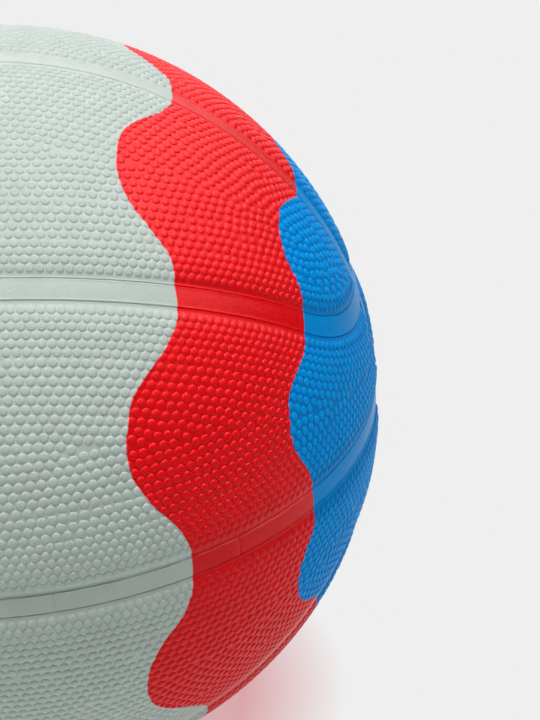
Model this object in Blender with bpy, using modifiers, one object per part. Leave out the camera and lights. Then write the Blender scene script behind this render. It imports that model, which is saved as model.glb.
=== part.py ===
"""A moulded rubber basketball: cover panels and channel strips on a wound carcass, with a bladder and a valve.

Metres, +Z up, origin at the ball's centre. The two poles, where the equator seam and the meridian seam
cross, lie on the X axis. A point of the ball is given by its polar angle from +X and its turn about X: 0 is
the front (-Y), 90 degrees the top (+Z), 180 degrees the back and 270 degrees the bottom.
"""

import math

import bmesh
import bpy
from mathutils import Euler, Vector

# Ball and cover
BALL_RADIUS = 0.1194  # over the pebbles: a full-size ball, 750 mm round
PANEL_THICKNESS = 0.0016
PANEL_CORNER_RADIUS = 0.004
EDGE_ROLL = 0.0032  # width over which a panel's edge rolls down into the channel
EDGE_DROP = 0.0007  # how far the rolled edge falls
MOST_ROLL = 0.4  # share of a panel's width that a roll may take, where the panel narrows to its tip

# Channel strips and seam layout
STRIP_WIDTH = 0.0066
CHANNEL_DEPTH = 0.001  # from the pebble tops down to the strip
ARC_TIP = 0.0344  # along the meridian, from the pole to where the arc seam crosses it
ARC_END_RADIUS = 0.065  # of the arc seam's bend near each tip
CLOSING_START = 0.1075  # along the equator, from the +X pole to the closing strip
CLOSING_LENGTH = 0.059

# Inner layers
CARCASS_THICKNESS = 0.0006
WINDING_THICKNESS = 0.0004
BLADDER_THICKNESS = 0.0006

# Valve
VALVE_TURN = math.radians(157.5)  # middle of the upper back panel
VALVE_SINK = 0.0006  # of the boot's face below the pebble tops
BOOT_NECK_RADIUS = 0.0044
BOOT_SLEEVE_LENGTH = 0.012  # below the flange
BOOT_FLANGE_RADIUS = 0.015
BOOT_FLANGE_THICKNESS = 0.0012
CORE_HEAD_RADIUS = 0.003
CORE_HEAD_THICKNESS = 0.001
CORE_SHAFT_RADIUS = 0.0019
CORE_BEAD_RADIUS = 0.0031
CORE_BEAD_LENGTH = 0.003
NEEDLE_RADIUS = 0.0009
NEEDLE_DIMPLE_RADIUS = 0.0014

# Clearances
GAP = 0.0003

# Facets
PANEL_CELLS_WIDE = 6
BEND_CELLS = 6  # along an arc seam's bend
STRAIGHT_CELLS = 6  # from the bend to the middle of the arc seam
STRIP_STEP = 0.015
SHELL_SEGMENTS = 26
VALVE_STEPS = 16
SHARP_ANGLE = math.radians(35)  # edges sharper than this stay crisp when shaded

# Places that follow from the sizes above
QUARTER = BALL_RADIUS * math.pi / 2  # arc length from a pole to the middle of the ball
EDGE = STRIP_WIDTH / 2 + GAP  # from a seam's centre line to the panel's edge
CELL_LENGTH = QUARTER / (STRAIGHT_CELLS + BEND_CELLS / 2)
CELL_WIDTH = QUARTER / 2 / PANEL_CELLS_WIDE
FACET_SAG = (CELL_LENGTH**2 + CELL_WIDTH**2) / (8 * BALL_RADIUS)  # of a panel's facet below the true sphere
CARCASS_RADIUS = BALL_RADIUS - PANEL_THICKNESS - FACET_SAG - GAP
WINDING_RADIUS = CARCASS_RADIUS - CARCASS_THICKNESS - GAP
BLADDER_RADIUS = WINDING_RADIUS - WINDING_THICKNESS - GAP
STRIP_RADIUS = BALL_RADIUS - CHANNEL_DEPTH
STRIP_THICKNESS = STRIP_RADIUS - CARCASS_RADIUS - GAP
SHELL_SAG = BALL_RADIUS * (1 - math.cos(math.pi / SHELL_SEGMENTS) ** 2)

# The three half turns that carry a top front piece to its other places
PLACES = {
    "top_front": Euler((0, 0, 0)),
    "top_back": Euler((0, 0, math.pi)),
    "bottom_front": Euler((0, math.pi, 0)),
    "bottom_back": Euler((math.pi, 0, 0)),
}


def clear_scene():
    for obj in list(bpy.data.objects):
        bpy.data.objects.remove(obj)


def new_collection(name):
    collection = bpy.data.collections.new(name)
    bpy.context.scene.collection.children.link(collection)
    return collection


def rubber(name, colour, roughness):
    material = bpy.data.materials.new(name)
    material.use_nodes = True
    shader = material.node_tree.nodes["Principled BSDF"]
    shader.inputs["Base Color"].default_value = (*colour, 1)
    shader.inputs["Roughness"].default_value = roughness
    shader.inputs["Metallic"].default_value = 0
    return material


def add_piece(name, mesh, collection, parent, material, rotation=None):
    piece = bpy.data.objects.new(name, mesh)
    collection.objects.link(piece)
    piece.parent = parent
    if rotation is not None:
        piece.rotation_euler = rotation
    if not mesh.materials:
        mesh.materials.append(material)
    mesh.shade_smooth()
    mesh.set_sharp_from_angle(angle=SHARP_ANGLE)
    return piece


# Seam lines, as unit directions from the ball's centre


def direction(polar, turn):
    return Vector((math.cos(polar), -math.sin(polar) * math.cos(turn), math.sin(polar) * math.sin(turn)))


def equator(way):
    """The front half of the equator seam, by the arc length from the +X pole."""
    return direction(way / BALL_RADIUS, 0)


def meridian(way):
    """The top half of the meridian seam, by the arc length from the +X pole."""
    return direction(way / BALL_RADIUS, math.pi / 2)


ARC_TANGENT = ARC_END_RADIUS * math.tan(math.pi / 8)
ARC_FLAT = ARC_TIP - ARC_TANGENT
ARC_BEND = ARC_END_RADIUS * math.pi / 4
ARC_STRAIGHT_START = ARC_TIP * math.sqrt(2) + ARC_TANGENT  # from the pole, where the bend ends
ARC_HALF = ARC_FLAT + ARC_BEND + QUARTER - ARC_STRAIGHT_START


def arc_seam(way):
    """The top front arc seam, by the arc length from its +X tip.

    Round the pole it is drawn flat: square off the meridian, then a bend of an eighth turn, then straight
    out along the line half way between equator and meridian. The -X half mirrors it.
    """
    from_tip = min(way, 2 * ARC_HALF - way)
    if from_tip < ARC_FLAT:
        across, up = from_tip, ARC_TIP
    elif from_tip < ARC_FLAT + ARC_BEND:
        bend = (from_tip - ARC_FLAT) / ARC_END_RADIUS
        across = ARC_FLAT + ARC_END_RADIUS * math.sin(bend)
        up = ARC_TIP + ARC_END_RADIUS * (1 - math.cos(bend))
    else:
        from_pole = ARC_STRAIGHT_START + from_tip - ARC_FLAT - ARC_BEND
        across = up = from_pole / math.sqrt(2)
    point = direction(math.hypot(across, up) / BALL_RADIUS, math.atan2(up, across))
    if way > ARC_HALF:
        point.x = -point.x
    return point


def beside(seam, way, distance):
    """The point at a distance to the right of a seam, seen from outside and going away from +X."""
    step = GAP / 2
    point = seam(way)
    side = (seam(way + step) - seam(way - step)).cross(point).normalized()
    angle = distance / BALL_RADIUS
    return point * math.cos(angle) + side * math.sin(angle)


# Sheets on the ball: a flat grid bent to shape, then given its wall


def roll_width(width):
    return min(EDGE_ROLL, MOST_ROLL * width)


def rows_across(width):
    """Distances across a panel: a row for the roll beside each edge, and even cells between."""
    roll = roll_width(width)
    middle = [roll + (width - 2 * roll) * i / PANEL_CELLS_WIDE for i in range(PANEL_CELLS_WIDE + 1)]
    return [0, *middle, width]


def ways_along(start):
    """Places along the arc seam where a panel has its rows, closer together round the bends."""
    bend = [ARC_FLAT + ARC_BEND * i / BEND_CELLS for i in range(1, BEND_CELLS + 1)]
    straight = ARC_HALF - ARC_FLAT - ARC_BEND
    middle = [ARC_HALF - straight * i / STRAIGHT_CELLS for i in reversed(range(STRAIGHT_CELLS))]
    rolled = start + EDGE_ROLL
    half = [start, rolled] + [way for way in bend + middle if way > rolled + EDGE_ROLL / 2]
    return half + [2 * ARC_HALF - way for way in reversed(half[:-1])]


def edge_fall(distance, roll):
    """How far a panel's face lies below the ball's radius at this distance from its edge."""
    return EDGE_DROP * (1 - min(distance / roll, 1))


def round_corner(a, b, radius):
    """Moves a point at distances a and b from two edges so that the corner between them is round."""
    if a >= radius or b >= radius:
        return a, b
    p = 1 - a / radius
    q = 1 - b / radius
    return radius * (1 - p * math.sqrt(1 - q * q / 2)), radius * (1 - q * math.sqrt(1 - p * p / 2))


def bent_grid(name, rows, columns, place):
    """A grid mesh whose corner (i, j) goes to the point, with the share of wall, that place(i, j) gives."""
    bm = bmesh.new()
    bmesh.ops.create_grid(bm, x_segments=columns - 1, y_segments=rows - 1, size=0.5)
    wall = bm.verts.layers.deform.verify()
    for vert in bm.verts:
        i = round((vert.co.y + 0.5) * (rows - 1))
        j = round((vert.co.x + 0.5) * (columns - 1))
        vert.co, share = place(i, j)
        vert[wall][0] = share
    bmesh.ops.triangulate(bm, faces=bm.faces)
    mesh = bpy.data.meshes.new(name)
    bm.to_mesh(mesh)
    bm.free()
    return mesh


def add_wall(piece, thickness):
    piece.vertex_groups.new(name="wall")
    solidify = piece.modifiers.new("wall", "SOLIDIFY")
    solidify.thickness = thickness
    solidify.offset = -1
    solidify.vertex_group = "wall"
    solidify.thickness_vertex_group = 0


def panel_point(unit, fall):
    return unit.normalized() * (BALL_RADIUS - fall), (PANEL_THICKNESS - fall) / PANEL_THICKNESS


def side_panel_mesh():
    """The upper front panel, from pole to pole between the equator seam and the arc seam."""
    ways = ways_along(EDGE)
    length = ways[-1] - EDGE
    low_length = 2 * (QUARTER - EDGE)

    def ends(from_start):
        low = beside(equator, EDGE + from_start * low_length / length, EDGE)
        high = beside(arc_seam, EDGE + from_start, -EDGE)
        return low, high

    def place(i, j):
        from_start = ways[i] - EDGE
        low, high = ends(from_start)
        width = low.angle(high) * BALL_RADIUS
        across = rows_across(width)[j]
        from_end = min(from_start, length - from_start)
        from_side = min(across, width - across)
        fall = edge_fall(min(from_end, from_side), EDGE_ROLL)
        end_in, side_in = round_corner(from_end, from_side, PANEL_CORNER_RADIUS)
        low, high = ends(end_in if from_start <= length / 2 else length - end_in)
        share = (side_in if across <= width / 2 else width - side_in) / width
        return panel_point(low.lerp(high, share), fall)

    return bent_grid("side_panel", len(ways), PANEL_CELLS_WIDE + 3, place)


def lens_panel_mesh():
    """The top front panel, between the arc seam and the meridian seam, with a rounded point at each tip."""
    corner = PANEL_CORNER_RADIUS
    low_start = EDGE + corner
    high_start = ARC_TIP + EDGE + corner
    ways = ways_along(low_start)
    length = ways[-1] - low_start
    high_length = 2 * (QUARTER - high_start)
    tip = beside(meridian, ARC_TIP + EDGE, -EDGE)

    def place(i, j):
        from_start = ways[i] - low_start
        low = beside(arc_seam, ways[i], EDGE)
        high = beside(meridian, high_start + from_start * high_length / length, -EDGE)
        width = low.angle(high) * BALL_RADIUS
        across = rows_across(width)[j]
        share = across / width
        from_end = min(from_start, length - from_start)
        point = low.lerp(high, share)
        if from_end < 2 * corner:
            near_tip = tip if from_start < length / 2 else Vector((-tip.x, tip.y, tip.z))
            bulge = (1 - from_end / (2 * corner)) * 2 * share * (1 - share)
            point += (near_tip - (low + high) / 2) * bulge
        from_side = min(across, width - across)
        fall = edge_fall(min(from_end, from_side), roll_width(width))
        return panel_point(point, fall)

    return bent_grid("lens_panel", len(ways), PANEL_CELLS_WIDE + 3, place)


def strip_mesh(name, seam, ways):
    def place(i, j):
        return beside(seam, ways[i], (j - 0.5) * STRIP_WIDTH) * STRIP_RADIUS, 1

    return bent_grid(name, len(ways), 2, place)


def even_ways(start, end):
    steps = math.ceil((end - start) / STRIP_STEP)
    return [start + (end - start) * i / steps for i in range(steps + 1)]


# The hidden layers and the valve


def shell(name, radius, thickness, cutter, collection, parent, material):
    """A whole sphere with a wall, opened at the valve."""
    bm = bmesh.new()
    bmesh.ops.create_uvsphere(bm, u_segments=SHELL_SEGMENTS, v_segments=SHELL_SEGMENTS // 2, radius=radius)
    mesh = bpy.data.meshes.new(name)
    bm.to_mesh(mesh)
    bm.free()
    piece = add_piece(name, mesh, collection, parent, material)
    solidify = piece.modifiers.new("wall", "SOLIDIFY")
    solidify.thickness = thickness
    solidify.offset = -1
    solidify.use_even_offset = True
    cut_hole(piece, cutter)
    return piece


def cut_hole(piece, cutter):
    boolean = piece.modifiers.new("valve_hole", "BOOLEAN")
    boolean.operation = "DIFFERENCE"
    boolean.object = cutter


def valve_hole_cutter(collection, parent):
    """A cylinder along the valve's axis, half a ball's radius long, through every layer of the wall."""
    bm = bmesh.new()
    radius = BOOT_NECK_RADIUS + GAP
    length = BALL_RADIUS / 2
    round_bar = {"radius1": radius, "radius2": radius, "depth": length}
    bmesh.ops.create_cone(bm, cap_ends=True, segments=VALVE_STEPS, **round_bar)
    bmesh.ops.translate(bm, verts=bm.verts, vec=(0, 0, BALL_RADIUS))
    mesh = bpy.data.meshes.new("valve_hole")
    bm.to_mesh(mesh)
    bm.free()
    cutter = bpy.data.objects.new("valve_hole", mesh)
    collection.objects.link(cutter)
    cutter.parent = parent
    cutter.hide_render = True
    cutter.display_type = "WIRE"
    return cutter


def turned(name, profile, collection, parent, material):
    """A closed profile of (radius, height) points, down its outside and up its inside, turned about the axis."""
    mesh = bpy.data.meshes.new(name)
    points = [(radius, 0, height) for radius, height in profile]
    edges = [(i, (i + 1) % len(points)) for i in range(len(points))]
    mesh.from_pydata(points, edges, [])
    piece = add_piece(name, mesh, collection, parent, material)
    screw = piece.modifiers.new("turned", "SCREW")
    screw.steps = VALVE_STEPS
    screw.render_steps = VALVE_STEPS
    screw.use_merge_vertices = True
    screw.merge_threshold = 0.00001
    return piece


VALVE_FACE = BALL_RADIUS - VALVE_SINK  # height of the boot's face on the valve's axis
FLANGE_TOP = BLADDER_RADIUS - BLADDER_THICKNESS - SHELL_SAG - GAP
FLANGE_UNDER = FLANGE_TOP - BOOT_FLANGE_THICKNESS
BORE_RADIUS = CORE_SHAFT_RADIUS + GAP
SLEEVE_END = FLANGE_UNDER - BOOT_SLEEVE_LENGTH


def dish(radius, start, end, steps=3):
    """Points of a ball-shaped dish of this radius, from one distance off the axis to another."""
    distances = [start + (end - start) * i / steps for i in range(steps + 1)]
    return [(d, math.sqrt(radius**2 - d**2)) for d in distances]


def boot_profile():
    seat = VALVE_FACE - CORE_HEAD_THICKNESS - GAP
    head_seat = CORE_HEAD_RADIUS + GAP
    neck = [(head_seat, VALVE_FACE), (BOOT_NECK_RADIUS, VALVE_FACE)]
    top = dish(FLANGE_TOP, BOOT_NECK_RADIUS, BOOT_FLANGE_RADIUS)
    under = dish(FLANGE_UNDER, BOOT_FLANGE_RADIUS, BOOT_NECK_RADIUS)
    sleeve = [(BOOT_NECK_RADIUS, SLEEVE_END), (BORE_RADIUS, SLEEVE_END)]
    bore = [(BORE_RADIUS, seat), (head_seat, seat)]
    return neck + top + under + sleeve + bore


def core_profile():
    head_under = VALVE_FACE - CORE_HEAD_THICKNESS
    bead_top = SLEEVE_END - GAP
    bead_end = bead_top - CORE_BEAD_LENGTH
    bead_middle = (bead_top + bead_end) / 2
    dimple = NEEDLE_DIMPLE_RADIUS - NEEDLE_RADIUS
    return [
        (NEEDLE_DIMPLE_RADIUS, VALVE_FACE),
        (CORE_HEAD_RADIUS, VALVE_FACE),
        (CORE_HEAD_RADIUS, head_under),
        (CORE_SHAFT_RADIUS, head_under),
        (CORE_SHAFT_RADIUS, bead_top),
        (CORE_BEAD_RADIUS, bead_top),
        (CORE_BEAD_RADIUS, bead_middle),
        (CORE_SHAFT_RADIUS, bead_end),
        (0, bead_end),
        (0, bead_middle),
        (NEEDLE_RADIUS, bead_middle),
        (NEEDLE_RADIUS, VALVE_FACE - dimple),
    ]


def main():
    clear_scene()
    parts = new_collection("basketball")
    cutters = new_collection("cutters")
    ball = bpy.data.objects.new("ball", None)
    valve_axis = bpy.data.objects.new("valve_axis", None)
    for empty in (ball, valve_axis):
        parts.objects.link(empty)
    valve_axis.parent = ball
    valve_axis.rotation_euler = direction(math.pi / 2, VALVE_TURN).to_track_quat("Z", "Y").to_euler()

    cover = rubber("painted_cover_rubber", (0.52, 0.60, 0.55), 0.5)
    channel = rubber("channel_rubber", (0.50, 0.58, 0.53), 0.45)
    carcass_rubber = rubber("carcass_rubber", (0.03, 0.03, 0.03), 0.7)
    nylon = rubber("wound_nylon", (0.62, 0.58, 0.48), 0.6)
    butyl = rubber("butyl_rubber", (0.02, 0.02, 0.022), 0.5)
    valve_rubber = rubber("valve_rubber", (0.05, 0.05, 0.05), 0.55)

    hole = valve_hole_cutter(cutters, valve_axis)
    shell("carcass", CARCASS_RADIUS, CARCASS_THICKNESS, hole, parts, ball, carcass_rubber)
    shell("winding_layer", WINDING_RADIUS, WINDING_THICKNESS, hole, parts, ball, nylon)
    shell("bladder", BLADDER_RADIUS, BLADDER_THICKNESS, hole, parts, ball, butyl)
    turned("valve_boot", boot_profile(), parts, valve_axis, valve_rubber)
    turned("valve_core", core_profile(), parts, valve_axis, valve_rubber)

    lens = lens_panel_mesh()
    side = side_panel_mesh()
    arc_ways = sorted({*ways_along(EDGE), *ways_along(EDGE + PANEL_CORNER_RADIUS)})
    arc = strip_mesh("arc_strip", arc_seam, arc_ways)
    for place, rotation in PLACES.items():
        end = place.split("_")[1]
        level = "upper" if place.startswith("top") else "lower"
        add_wall(add_piece(f"{place}_panel", lens, parts, ball, cover, rotation), PANEL_THICKNESS)
        side_panel = add_piece(f"{level}_{end}_panel", side, parts, ball, cover, rotation)
        add_wall(side_panel, PANEL_THICKNESS)
        if side_panel.name == "upper_back_panel":
            cut_hole(side_panel, hole)
        add_wall(add_piece(f"{place}_arc_strip", arc, parts, ball, channel, rotation), STRIP_THICKNESS)

    over = strip_mesh("meridian_strip", meridian, even_ways(EDGE, 2 * QUARTER - EDGE))
    for level, place in (("top", "top_front"), ("bottom", "bottom_back")):
        strip = add_piece(f"{level}_meridian_strip", over, parts, ball, channel, PLACES[place])
        add_wall(strip, STRIP_THICKNESS)
    closing_end = CLOSING_START + CLOSING_LENGTH
    closing = strip_mesh("equator_closing_strip", equator, even_ways(CLOSING_START + GAP, closing_end))
    add_wall(add_piece("equator_closing_strip", closing, parts, ball, channel), STRIP_THICKNESS)
    rest_of_equator = even_ways(closing_end + GAP, 4 * QUARTER + CLOSING_START)
    main_strip = strip_mesh("equator_strip", equator, rest_of_equator)
    add_wall(add_piece("equator_strip", main_strip, parts, ball, channel), STRIP_THICKNESS)


main()
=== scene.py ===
# %% [markdown]
# # A moulded rubber basketball
#
# The ball is a hollow rubber carcass with eight pebbled panels and eight flat channel strips laid over it,
# sprayed in three colours. The real pieces come from model.glb at their real size. This file gives them the
# surface that the eye knows a basketball by: thousands of small rubber domes, rolled panel edges, a fine
# grain in the channels, and paint that runs across all of it. All lengths are in metres.

import math

import bpy
import numpy as np
from mathutils import Matrix, Vector
from mathutils.geometry import delaunay_2d_cdt


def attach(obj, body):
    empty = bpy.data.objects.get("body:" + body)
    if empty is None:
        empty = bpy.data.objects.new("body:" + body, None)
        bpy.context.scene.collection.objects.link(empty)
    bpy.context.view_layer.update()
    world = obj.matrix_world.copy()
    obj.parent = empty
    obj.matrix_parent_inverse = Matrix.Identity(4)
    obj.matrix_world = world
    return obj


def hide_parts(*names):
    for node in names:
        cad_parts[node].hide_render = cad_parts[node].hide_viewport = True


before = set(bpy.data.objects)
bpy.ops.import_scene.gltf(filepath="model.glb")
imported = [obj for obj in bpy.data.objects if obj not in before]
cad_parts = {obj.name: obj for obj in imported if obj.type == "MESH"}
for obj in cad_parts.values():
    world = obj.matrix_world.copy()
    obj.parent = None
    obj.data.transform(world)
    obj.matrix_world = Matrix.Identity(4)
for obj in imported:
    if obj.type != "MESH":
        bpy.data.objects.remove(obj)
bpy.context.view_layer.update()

# %% [markdown]
# ## The camera
#
# A photograph of a ball fixes its own camera. The outline gives the ball's centre and size in the picture,
# and the seams say how it is turned. The ball stands far to the left of this picture, so the camera looks
# past its right side. A lens shift would give the same picture, but aiming the camera keeps every other
# view of the scene centred as well.

# %% Camera
BALL_RADIUS = 0.1194
PICTURE_WIDTH = 540
PICTURE_HEIGHT = 720
FOCAL_LENGTH_PX = 2587.2
BALL_CENTRE_PX = (7.66, 398.75)
CAMERA_DISTANCE = 7 * BALL_RADIUS
CAMERA_AZIMUTH = math.radians(0.21)
CAMERA_ELEVATION = math.radians(29.47)
CAMERA_ROLL = math.radians(-3.16)
SENSOR_WIDTH_MM = 36


def new_object(name, data):
    """A new object in the scene that shows a camera, a mesh or a lamp."""
    made = bpy.data.objects.new(name, data)
    bpy.context.scene.collection.objects.link(made)
    return made


level = math.cos(CAMERA_ELEVATION)
right = Vector((math.cos(CAMERA_AZIMUTH), math.sin(CAMERA_AZIMUTH), 0))
back = Vector((right.y * level, -right.x * level, math.sin(CAMERA_ELEVATION)))
up = back.cross(right)
rolled_right = right * math.cos(CAMERA_ROLL) + up * math.sin(CAMERA_ROLL)
rolled_up = up * math.cos(CAMERA_ROLL) - right * math.sin(CAMERA_ROLL)
axes = Matrix((rolled_right, rolled_up, back)).transposed()
to_ball = Vector((
    (BALL_CENTRE_PX[0] - PICTURE_WIDTH / 2) / FOCAL_LENGTH_PX,
    (PICTURE_HEIGHT / 2 - BALL_CENTRE_PX[1]) / FOCAL_LENGTH_PX,
    -1,
)).normalized() * CAMERA_DISTANCE
camera = new_object("camera", bpy.data.cameras.new("camera"))
camera.data.sensor_width = SENSOR_WIDTH_MM
camera.data.lens = FOCAL_LENGTH_PX / PICTURE_HEIGHT * SENSOR_WIDTH_MM
camera.matrix_world = Matrix.Translation(-(axes @ to_ball)) @ axes.to_4x4()
bpy.context.scene.camera = camera
print("camera:", round(camera.data.lens, 1), "mm, at", [round(x, 3) for x in camera.location])

# %% [markdown]
# ## Where the seams run
#
# Every place on the ball is a direction from its centre, given by the angle from the +X pole and the turn
# about the X axis. Two great circles, the equator and the meridian, cross at the poles. Four arc seams run
# half way between them, and bend into the meridian near each pole. A curve object could follow them, but a
# formula also answers the question that shapes everything here: how far is this point from the seam?

# %% Seam lines
STRIP_WIDTH = 0.0062
GAP = 0.0003
ARC_TIP = 0.0344
ARC_END_RADIUS = 0.065
EDGE = STRIP_WIDTH / 2 + GAP
QUARTER = BALL_RADIUS * math.pi / 2
ARC_TANGENT = ARC_END_RADIUS * math.tan(math.pi / 8)
ARC_FLAT = ARC_TIP - ARC_TANGENT
ARC_BEND = ARC_END_RADIUS * math.pi / 4
ARC_STRAIGHT_START = ARC_TIP * math.sqrt(2) + ARC_TANGENT
ARC_HALF = ARC_FLAT + ARC_BEND + QUARTER - ARC_STRAIGHT_START
SEAM_STEP = 0.0005


def unit(vectors):
    """Vectors of the same direction and of length one."""
    return vectors / np.linalg.norm(vectors, axis=-1, keepdims=True)


def direction(polar, turn):
    """The direction at an angle from the +X pole and a turn about the X axis, from the front upwards."""
    polar, turn = np.broadcast_arrays(polar, turn)
    return np.stack([np.cos(polar), -np.sin(polar) * np.cos(turn), np.sin(polar) * np.sin(turn)], axis=-1)


def equator(way):
    """The equator seam, by arc length from the +X pole."""
    return direction(way / BALL_RADIUS, 0.0)


def meridian(way):
    """The meridian seam over the top, by arc length from the +X pole."""
    return direction(way / BALL_RADIUS, math.pi / 2)


def arc_seam(way):
    """The top front arc seam, by the arc length from its +X tip: flat, an eighth turn of bend, straight."""
    from_tip = np.minimum(way, 2 * ARC_HALF - way)
    bend = np.clip((from_tip - ARC_FLAT) / ARC_END_RADIUS, 0, math.pi / 4)
    straight = np.maximum(from_tip - ARC_FLAT - ARC_BEND, 0) / math.sqrt(2)
    across = np.minimum(from_tip, ARC_FLAT) + ARC_END_RADIUS * np.sin(bend) + straight
    up = ARC_TIP + ARC_END_RADIUS * (1 - np.cos(bend)) + straight
    point = direction(np.hypot(across, up) / BALL_RADIUS, np.arctan2(up, across))
    point[..., 0] *= np.where(way > ARC_HALF, -1, 1)
    return point


def side_of(seam, way):
    """Which way is square off a seam, to the right of someone who walks it away from +X."""
    return unit(np.cross(seam(way + SEAM_STEP) - seam(way - SEAM_STEP), seam(way)))


arc_ways = np.arange(-EDGE, 2 * ARC_HALF + EDGE, SEAM_STEP)
arc_points = arc_seam(arc_ways)
arc_sides = side_of(arc_seam, arc_ways)
print("arc seam:", round(2 * ARC_HALF * 1000), "mm, followed by", len(arc_ways), "points")

# %% [markdown]
# ## How far a point is from its panel's edge
#
# A panel is the ground between three seams, set back by half a strip. Its distance field is the least of
# the distances to those seams, with the corners rounded. One field then gives the outline, the rows of
# pebbles that run beside it, and the roll of the rubber down into the channel.

# %% Distance from the edge
PANEL_CORNER = 0.004
LENS_TURN = math.radians(67.5)
SIDE_TURN = math.radians(22.5)
CHUNK = 8192


def above_arc(points):
    """Signed distance from the arc seam, positive on the lens panel's side."""
    found = np.empty(len(points))
    for start in range(0, len(points), CHUNK):
        part = points[start:start + CHUNK]
        nearest = np.argmax(part @ arc_points.T, axis=1)
        found[start:start + CHUNK] = np.einsum("ij,ij->i", part, arc_sides[nearest])
    return BALL_RADIUS * np.arcsin(found)


def rounded_least(corner, *distances):
    """The least of several distances, with a corner of this radius where two of them are small."""
    near, next_near = np.sort(np.stack(distances), axis=0)[:2]
    into = np.maximum(corner - near, 0)
    into_next = np.maximum(corner - next_near, 0)
    return np.where(into_next > 0, corner - np.hypot(into, into_next), near)


def from_lens_edge(points, corner=PANEL_CORNER):
    """Distance into the top front lens panel, negative outside it."""
    from_meridian = BALL_RADIUS * np.arcsin(-points[:, 1]) - EDGE
    return rounded_least(corner, above_arc(points) - EDGE, from_meridian)


def from_side_edge(points, corner=PANEL_CORNER):
    """Distance into the upper front side panel, negative outside it."""
    from_equator = BALL_RADIUS * np.arcsin(points[:, 2]) - EDGE
    from_meridian = BALL_RADIUS * np.arcsin(-points[:, 1]) - EDGE
    return rounded_least(corner, -above_arc(points) - EDGE, from_equator, from_meridian)


lens_middle = direction(math.pi / 2, LENS_TURN)
side_middle = direction(math.pi / 2, SIDE_TURN)
lens_reach = from_lens_edge(lens_middle[None])[0]
side_reach = from_side_edge(side_middle[None])[0]
print("half widths:", round(lens_reach * 1000, 1), "and", round(side_reach * 1000, 1), "mm")

# %% [markdown]
# ## Walking round a panel
#
# A row of pebbles keeps the same distance from the edge all the way round. The walk takes a short step
# along the row, then is nudged back on to the wanted distance, like someone who follows a wall with one
# hand.

# %% Rows
NEAR_X_AXIS = 0.9
WALK_STEP = 0.0008
FEEL = 0.00005
TURN_RADIUS = 0.002
FIRST_NUDGES = 3
CLOSED = 0.6 * WALK_STEP
LEAST_STEPS = 4
MOST_STEPS = 2000


def tangents(points):
    """Two directions square to each point and to each other."""
    helper = np.where(np.abs(points[..., :1]) < NEAR_X_AXIS, (1.0, 0.0, 0.0), (0.0, 1.0, 0.0))
    first = unit(np.cross(points, helper))
    return first, np.cross(points, first)


def settle(from_edge, points, level, corner):
    """Points moved straight to one distance from the edge, and the slope that they followed."""
    first, second = tangents(points)
    to_ahead, to_side = first * FEEL / BALL_RADIUS, second * FEEL / BALL_RADIUS
    feelers = np.concatenate([points, points + to_ahead, points + to_side])
    here, ahead, aside = from_edge(unit(feelers), corner).reshape(3, -1, 1)
    slope = (first * (ahead - here) + second * (aside - here)) / FEEL
    return unit(points + unit(slope) * (level - here) / BALL_RADIUS), slope


def walk(from_edge, start, level):
    """A closed loop of points that all lie at one distance from the edge, with the panel on its left."""
    corner = max(PANEL_CORNER, level + TURN_RADIUS)
    here = start[None]
    for _ in range(FIRST_NUDGES):
        here, slope = settle(from_edge, here, level, corner)
    loop = []
    while len(loop) < LEAST_STEPS or np.linalg.norm(here - loop[0]) * BALL_RADIUS > CLOSED:
        here, slope = settle(from_edge, here, level, corner)
        loop.append(here[0])
        here = unit(here + unit(np.cross(slope, here)) * WALK_STEP / BALL_RADIUS)
        if len(loop) > MOST_STEPS:
            raise RuntimeError("the walk did not come back to its start")
    return np.array(loop)


lens_outline = walk(from_lens_edge, lens_middle, 0.0)
side_outline = walk(from_side_edge, side_middle, 0.0)
print("outlines:", len(lens_outline), "and", len(side_outline), "steps of", WALK_STEP * 1000, "mm")

# %% [markdown]
# ## Evenly spaced points
#
# A mould's cutter works at a steady pitch: equal arc lengths along a row, and circles round the valve. An
# array modifier on a curve would space whole objects, but here bare points are enough.

# %% Even spacing


def spaced(loop, spacing, shift=0.0):
    """Points at an even spacing along a closed loop."""
    closed = np.vstack([loop, loop[:1]])
    lengths = np.linalg.norm(np.diff(closed, axis=0), axis=1) * BALL_RADIUS
    way = np.concatenate([[0], np.cumsum(lengths)])
    count = max(round(way[-1] / spacing), 3)
    wanted = (np.arange(count) + shift) / count * way[-1]
    return unit(np.stack([np.interp(wanted, way, closed[:, k]) for k in range(3)], axis=-1))


def circle(middle, radius, spacing):
    """Points at an even spacing round a place on the ball."""
    first, second = tangents(middle)
    turn = np.linspace(0, 2 * math.pi, round(2 * math.pi * radius / spacing), endpoint=False)[:, None]
    return unit(middle + math.tan(radius / BALL_RADIUS) * (first * np.cos(turn) + second * np.sin(turn)))


PEBBLE_PITCH = 0.00285
VALVE_RINGS = (0.0093, 0.0117)
valve_rings = [circle(side_middle, radius, PEBBLE_PITCH) for radius in VALVE_RINGS]
print("rings round the valve:", [len(ring) for ring in valve_rings], "pebbles")

# %% [markdown]
# ## Where the pebbles sit
#
# The mould of a real ball has its pebbles in neat rows beside every seam, each bead in the notch between
# two beads of the row before. Farther in, the rows bend round and lose count, and small gaps open. A
# particle system would scatter them with no rows at all. Here the rows are laid first, the inner ones are
# shaken a little, and all of the loose ones then push each other apart until they sit as a moulded pattern
# does.

# %% Room between pebbles
NEIGHBOURS = 14
PUSH_ROUNDS = 30
PUSH_SHARE = 0.3
LEAST_PITCH = 0.0026


def gaps_between(points):
    """The distance from every point to every other, with the points themselves set far off."""
    apart = np.sqrt(np.maximum(2 - 2 * points @ points.T, 0)) * BALL_RADIUS
    np.fill_diagonal(apart, 1.0)
    return apart


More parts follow.
